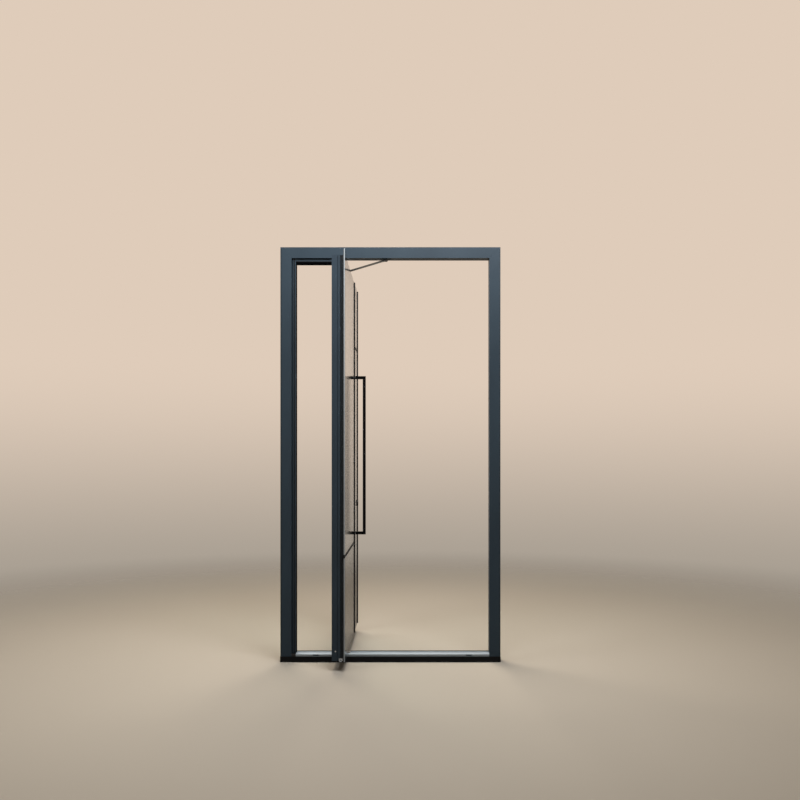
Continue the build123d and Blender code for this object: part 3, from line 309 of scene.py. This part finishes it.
# Each pad's two ends are counted along the leaf from the pin. The ring stands on the pin's collar.
pad_thickness, heel_pad, toe_pad = 18, (-59, -14.5), (14.5, 84)
ring_inner, ring_outer, ring_foot = 8.3, 15.0, 2646.5
shape = bmesh.new()
for near, far in (heel_pad, toe_pad):
    middle = Vector((pivot_x, pivot_y + (near + far) / 2, (foam_foot + foam_top) / 2))
    size = Vector((pad_thickness, far - near, foam_top - foam_foot))
    pad = bmesh.ops.create_cube(shape, size=1.0)["verts"]
    bmesh.ops.scale(shape, vec=size * MM, verts=pad)
    bmesh.ops.translate(shape, vec=middle * MM, verts=pad)
section = ((ring_inner, ring_foot), (ring_outer, ring_foot), (ring_outer, foam_top),
           (ring_inner, foam_top))
corners = [shape.verts.new(Vector((pivot_x + radius, pivot_y, height)) * MM)
           for radius, height in section]
rim = [shape.edges.new((corners[k], corners[k - 1])) for k in range(4)]
bmesh.ops.spin(shape, geom=corners + rim, cent=Vector((pivot_x, pivot_y, 0)) * MM, axis=(0, 0, 1),
               dvec=(0, 0, 0), angle=math.tau, steps=32, use_merge=True)
bmesh.ops.recalc_face_normals(shape, faces=shape.faces)
foam_seal = built("pivot_foam_seal", shape)
foam_seal.data.materials.append(foam)
soft_edge = foam_seal.modifiers.new("edge_round", "BEVEL")
soft_edge.width = 1.5 * MM
soft_edge.segments = 3
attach(foam_seal, "leaf")


# Glass: four double-glazed units of clear float, the outer sheets toughened. It is nearly
# colourless through its face, and the fine matt of a ground edge shows as a pale line.
def clear_float(name, colour):
    """Glass that bends and mirrors light and lets the lamps shine through."""
    material, tree, shader = new_material(name, colour, 0.0)
    shader.inputs["IOR"].default_value = 1.52
    shader.inputs["Transmission Weight"].default_value = 1.0
    rays = add_node(tree, "ShaderNodeLightPath")
    clear = add_node(tree, "ShaderNodeBsdfTransparent", Color=linear("#F4F8F6"))
    both = add_node(tree, "ShaderNodeMixShader", Fac=rays.outputs["Is Shadow Ray"],
                    _1=shader.outputs["BSDF"], _2=clear.outputs["BSDF"])
    tree.links.new(both.outputs["Shader"], tree.nodes["Material Output"].inputs["Surface"])
    return material, tree, shader


plain = clear_float("clear_float_glass", "#FAFCFB")[0]
toughened, tree, shader = clear_float("toughened_float_glass", "#F8FBFA")
# Toughening leaves a slight wave, which softens what the sheet mirrors at a flat angle.
flat_angle = add_node(tree, "ShaderNodeLayerWeight", Blend=0.5)
soft = add_node(tree, "ShaderNodeMapRange", Value=flat_angle.outputs["Facing"], From_Min=0.80,
                From_Max=0.93, To_Min=0.0, To_Max=0.11)
tree.links.new(soft.outputs["Result"], shader.inputs["Roughness"])
# The back third of a ground edge is dark, where the black bond shows through it.
edge_tone, bond_to = "#A2A6A5", -286.5
ground_edge, tree, shader = new_material("ground_glass_edge", edge_tone, 0.5)
parted(tree, shader, bond_to, linear("#2E3335"), linear(edge_tone))
# The marks of the grinding wheel are finer than 0.4 mm, and are drawn coarser to show.
textured(tree, shader, stretched_noise(tree, 0.4), rough=(0.42, 0.58))
for place in ("main_lower", "main_upper", "side_lower", "side_upper"):
    for side, sheet in (("outer", toughened), ("inner", plain)):
        name = side + "_pane_" + place
        pane = merged_copy(name, "_sheet")
        pane.data.materials.append(sheet)
        pane.data.materials.append(ground_edge)
        for face in pane.data.polygons:
            face.material_index = 0 if abs(face.normal.x) > 0.9 else 1
        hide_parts(name)
        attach(pane, "leaf")

# Cover strip and edge trim: thin aluminium strips with a deep black satin coat, clipped over the
# joint between the panes and over their toe edge.
black_coat = powder_coat("black_powder_coat", "#101113", "#141618", 0.42, 0.2)[0]
for strip in ("mid_cover", "toe_trim"):
    eased(strip, "leaf", black_coat, 0.4)

# Pull handles, rosettes and thumb turn: square steel bar and turned parts with a black satin coat,
# its shine varying a little in soft clouds.
handle_coat = powder_coat("black_handle_coat", "#080809", "#0B0B0C", 0.36, 0.06)[0]
for bar in ("outer_handle", "inner_handle", "rosettes"):
    eased(bar, "leaf", handle_coat, 0.5)
eased("thumb_turn", "thumb_turn", handle_coat, 0.8)


# Screws and caps: stainless pan-head screws with a six-sided recess hold the plates, black grub
# screws clamp the handles, and plastic caps close the fixing holes in the toe jamb.
def head_tree(name, material):
    """Sets a low round head with a six-sided recess on each point, turned the way it faces."""
    tree = bpy.data.node_groups.new(name, "GeometryNodeTree")
    tree.interface.new_socket("Geometry", in_out="INPUT", socket_type="NodeSocketGeometry")
    for size in ("Head Radius", "Head Height", "Recess Radius", "Recess Depth"):
        tree.interface.new_socket(size, in_out="INPUT", socket_type="NodeSocketFloat")
    tree.interface.new_socket("Geometry", in_out="OUTPUT", socket_type="NodeSocketGeometry")
    given = add_node(tree, "NodeGroupInput").outputs
    dome = add_node(tree, "GeometryNodeMeshUVSphere", Segments=28, Rings=14, Radius=1.0)
    flatten = add_node(tree, "ShaderNodeCombineXYZ", X=given["Head Radius"],
                       Y=given["Head Radius"], Z=given["Head Height"])
    low_dome = add_node(tree, "GeometryNodeTransform", Geometry=dome.outputs["Mesh"],
                        Scale=flatten.outputs["Vector"])
    key = add_node(tree, "GeometryNodeMeshCylinder", Vertices=6, Radius=given["Recess Radius"],
                   Depth=given["Recess Depth"])
    lift = add_node(tree, "ShaderNodeCombineXYZ", Z=given["Head Height"])
    raised = add_node(tree, "GeometryNodeTransform", Geometry=key.outputs["Mesh"],
                      Translation=lift.outputs["Vector"])
    cut = add_node(tree, "GeometryNodeMeshBoolean", {"operation": "DIFFERENCE"})
    tree.links.new(low_dome.outputs["Geometry"], cut.inputs["Mesh 1"])
    tree.links.new(raised.outputs["Geometry"], cut.inputs["Mesh 2"])
    way = add_node(tree, "GeometryNodeInputNamedAttribute", {"data_type": "FLOAT_VECTOR"},
                   Name="facing")
    turned = add_node(tree, "FunctionNodeAlignRotationToVector", {"axis": "Z"},
                      Vector=way.outputs["Attribute"])
    spread = add_node(tree, "GeometryNodeInstanceOnPoints", Points=given["Geometry"],
                      Instance=cut.outputs["Mesh"], Rotation=turned.outputs["Rotation"])
    real = add_node(tree, "GeometryNodeRealizeInstances", Geometry=spread.outputs["Instances"])
    finish = add_node(tree, "GeometryNodeSetMaterial", Geometry=real.outputs["Geometry"],
                      Material=material)
    add_node(tree, "NodeGroupOutput", Geometry=finish.outputs["Geometry"])
    return tree


def heads(name, body, slot, tree, seats, **sizes):
    """Heads of sizes in mm on seats, each a place in mm and the way it faces, as one mesh."""
    points = bpy.data.meshes.new(name + "_points")
    points.from_pydata([Vector(place) * MM for place, way in seats], [], [])
    facing = points.attributes.new("facing", "FLOAT_VECTOR", "POINT")
    for point, (place, way) in zip(facing.data, seats):
        point.vector = way
    piece = new_object(name, points)
    made = piece.modifiers.new("heads", "NODES")
    made.node_group = tree
    for socket in tree.interface.items_tree:
        if socket.in_out == "INPUT" and socket.name != "Geometry":
            made[socket.identifier] = sizes[socket.name.lower().replace(" ", "_")] * MM
    shown = piece.evaluated_get(bpy.context.evaluated_depsgraph_get())
    merged = bpy.data.meshes.new_from_object(shown)
    piece.modifiers.remove(made)
    piece.data = merged
    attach(piece, body)


stainless = anodised("turned_stainless", "#C6CACD", 0.28, "Z", 0.4)[0]
steel_heads = head_tree("steel_heads", stainless)
black_heads = head_tree("black_heads", handle_coat)
cap_heads = head_tree("cap_heads", sill_black)
floor_plate_top, bracket_under = 60.5, 2672
jamb_face, heel_edge, toe_edge = 655, -292, 976
floor_plate = [((pivot_x + step, pivot_y, floor_plate_top), (0, 0, 1)) for step in (-47.5, 47.5)]
stay_bracket = [((x, 5, bracket_under), (0, 0, -1)) for x in (-57.5, -2.5)]
strike_plate = [((jamb_face, 5, z), (-1, 0, 0)) for z in (1062.5, 1117.5)]
faceplate = [((pivot_x, toe_edge, z), (0, 1, 0)) for z in (945, 1155)]
pan_head = {"head_radius": 4.2, "head_height": 0.7, "recess_radius": 1.7, "recess_depth": 1.0}
heads("plate_screws", "frame", "steel", steel_heads, floor_plate + stay_bracket + strike_plate,
      **pan_head)
heads("leaf_screws", "leaf", "steel", steel_heads, faceplate, **pan_head)
heads("heel_fixing", "leaf", "steel", steel_heads, [((-342, heel_edge, 127), (0, -1, 0))],
      head_radius=4.5, head_height=1.8, recess_radius=2.0, recess_depth=2.0)
handle_legs = [((x, 757, z), (0, 0, -1)) for x in (-266, -328) for z in (774, 1942)]
heads("grub_screws", "leaf", "black_metal", black_heads, handle_legs,
      head_radius=2.6, head_height=0.3, recess_radius=1.5, recess_depth=0.5)
jamb_holes = [((jamb_face, 12, z), (-1, 0, 0)) for z in (250, 1000, 1750, 2500)]
heads("fixing_caps", "frame", "sill_plastic", cap_heads, jamb_holes,
      head_radius=7.5, head_height=1.2, recess_radius=0.8, recess_depth=0.5)

# Floor and backdrop: a plain pale sweep that isn't part of the door. The floor throws little
# light up at the door, mirrors darker than it looks, and fades with distance into the world,
# which is paler above the horizon.
floor_tone, dim_tone, floor_level, reach = "#BEB3A2", "#6B655C", cad_box[0][2], 14.0
shape = bmesh.new()
shape.faces.new([shape.verts.new((x * reach, y * reach, floor_level))
                 for x, y in ((-1, -1), (1, -1), (1, 1), (-1, 1))])
floor = built("floor", shape)
floor_material, tree, shader = new_material("pale_floor", floor_tone, 0.8, specular=0.2)
rays = add_node(tree, "ShaderNodeLightPath")
dimmed = add_node(tree, "ShaderNodeMath", {"operation": "MULTIPLY_ADD"},
                  _0=rays.outputs["Is Glossy Ray"], _1=0.7, _2=rays.outputs["Is Diffuse Ray"])
tint = add_node(tree, "ShaderNodeMix", {"data_type": "RGBA"}, _0=dimmed.outputs["Value"],
                _6=linear(floor_tone), _7=linear(dim_tone))
tree.links.new(tint.outputs[2], shader.inputs["Base Color"])
place = add_node(tree, "ShaderNodeTexCoord")
far = add_node(tree, "ShaderNodeVectorMath", {"operation": "LENGTH"}, _0=place.outputs["Object"])
fade = add_node(tree, "ShaderNodeMapRange", {"interpolation_type": "SMOOTHSTEP"},
                Value=far.outputs["Value"], From_Min=2.2, From_Max=7.0)
gone = add_node(tree, "ShaderNodeBsdfTransparent")
both = add_node(tree, "ShaderNodeMixShader", Fac=fade.outputs["Result"],
                _1=shader.outputs["BSDF"], _2=gone.outputs["BSDF"])
tree.links.new(both.outputs["Shader"], tree.nodes["Material Output"].inputs["Surface"])
floor.data.materials.append(floor_material)

# The sweep of the backdrop is only for rays that see it. The door is lit by a weak, even room.
world = bpy.data.worlds.new("pale_room")
world.use_nodes = True
bpy.context.scene.world = world
tree = world.node_tree
room = tree.nodes["Background"]
room.inputs["Color"].default_value = linear("#E4DDD4")
room.inputs["Strength"].default_value = 0.1
place = add_node(tree, "ShaderNodeTexCoord")
split = add_node(tree, "ShaderNodeSeparateXYZ", Vector=place.outputs["Generated"])
rise = add_node(tree, "ShaderNodeMapRange", {"interpolation_type": "SMOOTHSTEP"},
                Value=split.outputs["Z"], From_Min=-0.16, From_Max=0.11)
sweep = add_node(tree, "ShaderNodeMix", {"data_type": "RGBA"}, _0=rise.outputs["Result"],
                 _6=linear("#A59C90"), _7=linear("#DFCCBA"))
seen = add_node(tree, "ShaderNodeBackground", Color=sweep.outputs[2], Strength=1.0)
rays = add_node(tree, "ShaderNodeLightPath")
either = add_node(tree, "ShaderNodeMath", {"operation": "MAXIMUM"},
                  _0=rays.outputs["Is Camera Ray"], _1=rays.outputs["Is Transmission Ray"])
shown = add_node(tree, "ShaderNodeMath", {"operation": "MAXIMUM"}, _0=either.outputs["Value"],
                 _1=rays.outputs["Is Glossy Ray"])
both = add_node(tree, "ShaderNodeMixShader", Fac=shown.outputs["Value"],
                _1=room.outputs["Background"], _2=seen.outputs["Background"])
tree.links.new(both.outputs["Shader"], tree.nodes["World Output"].inputs["Surface"])


# Lamps: large soft panels hung high, one in front, one at the left and one behind.
# They light the top of the door more than its foot.
def soft_panel(name, place, target, size, power, colour):
    """A square area lamp that faces a point, with its size in metres and its power in watts."""
    lamp = bpy.data.lights.new(name, "AREA")
    lamp.shape = "SQUARE"
    lamp.size = size
    lamp.energy = power
    lamp.color = linear(colour)[:3]
    holder = new_object(name, lamp)
    holder.location = place
    holder.rotation_euler = (Vector(target) - Vector(place)).to_track_quat("-Z", "Y").to_euler()


day_white, warm_white = "#F3F7FF", "#FFF6EA"
soft_panel("front_panel", (0.55, -1.60, 4.15), (0.0, 0.0, 2.6), 1.6, 106.0, day_white)
soft_panel("left_panel", (-2.4, -1.5, 4.2), (-0.4, 0.0, 2.5), 1.6, 48.0, day_white)
soft_panel("rear_panel", (-0.6, 2.2, 5.4), (-0.1, 0.2, 1.6), 2.0, 190.0, warm_white)

# Camera: level, 1.37 m up and 5.8 m in front of the frame. The view is shifted and not turned to
# where the photograph holds the door, so that upright lines stay upright.
camera_data = bpy.data.cameras.new("camera")
camera_data.lens = 39.3
camera_data.sensor_width = 36.0
camera_data.shift_x = -0.0131
camera_data.shift_y = 0.0688
camera = new_object("camera", camera_data)
camera.location = (0.133, -5.82, 1.371)
camera.rotation_euler = (math.radians(90), 0, 0)
bpy.context.scene.camera = camera
bpy.context.scene.view_settings.view_transform = "Standard"
